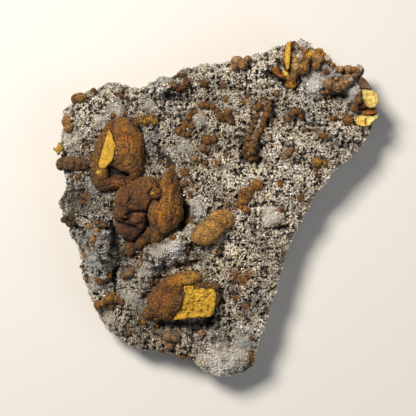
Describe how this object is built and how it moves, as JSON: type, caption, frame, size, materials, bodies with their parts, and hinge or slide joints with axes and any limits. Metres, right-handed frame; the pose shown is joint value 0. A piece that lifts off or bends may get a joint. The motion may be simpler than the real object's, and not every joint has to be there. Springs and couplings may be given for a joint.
{
  "type": "gyrolite specimen",
  "caption": "Loose plate of rock lined with sparkling quartz crystals, carrying brown and yellow gyrolite lumps, chains and balls; lies on its flat back as a cabinet mineral specimen.",
  "frame": {"origin": "on the surface under the flat back, at the middle of the box round the whole specimen", "axes": "+Z out of the crystal face, +Y towards the specimen's upper end, +X towards its clean curved break"},
  "size_m": [0.1626, 0.1708, 0.0367],
  "materials": {
    "drusy_quartz": "sparkling druse of small glassy points over dull rock, with a duller broken wall and back",
    "gyrolite": "matt, finely granular brown",
    "yellow_heart": "matt, finely pitted broken yellow"
  },
  "bodies": {
    "root": {"arch": "gyrolite", "ball_01": "gyrolite", "ball_02": "gyrolite", "ball_03": "gyrolite", "ball_04": "gyrolite", "ball_05": "gyrolite", "ball_06": "gyrolite", "ball_07": "gyrolite", "ball_08": "gyrolite", "ball_09": "gyrolite", "ball_10": "gyrolite", "ball_11": "gyrolite", "ball_12": "gyrolite", "ball_13": "gyrolite", "ball_14": "gyrolite", "ball_15": "gyrolite", "ball_16": "gyrolite", "basin_ball": "gyrolite", "crest_ball": "gyrolite", "crest_blade": "yellow_heart", "crest_lump": "gyrolite", "crest_wing": "gyrolite", "dusty_pair": "gyrolite", "foot_balls": "gyrolite", "forked_chain": "gyrolite", "left_bow": "gyrolite", "left_foot_chain": "gyrolite", "left_heart": "yellow_heart", "left_knot": "gyrolite", "left_pair": "gyrolite", "left_roll": "gyrolite", "low_pair": "gyrolite", "lower_heart": "yellow_heart", "lower_lump": "gyrolite", "middle_lump": "gyrolite", "oval_lump": "gyrolite", "pair_of_balls": "gyrolite", "quartz_matrix": "drusy_quartz", "rim_ball": "gyrolite", "ring_of_beads": "gyrolite", "scaly_strip": "gyrolite", "shoulder_cap": "gyrolite", "shoulder_heart_lower": "yellow_heart", "shoulder_heart_upper": "yellow_heart", "shoulder_rind": "gyrolite", "shoulder_roll": "gyrolite", "twin_bow": "gyrolite", "upper_chain": "gyrolite", "upper_heart": "yellow_heart", "upper_lump": "gyrolite", "upper_pair": "gyrolite"}
  },
  "joints": []
}
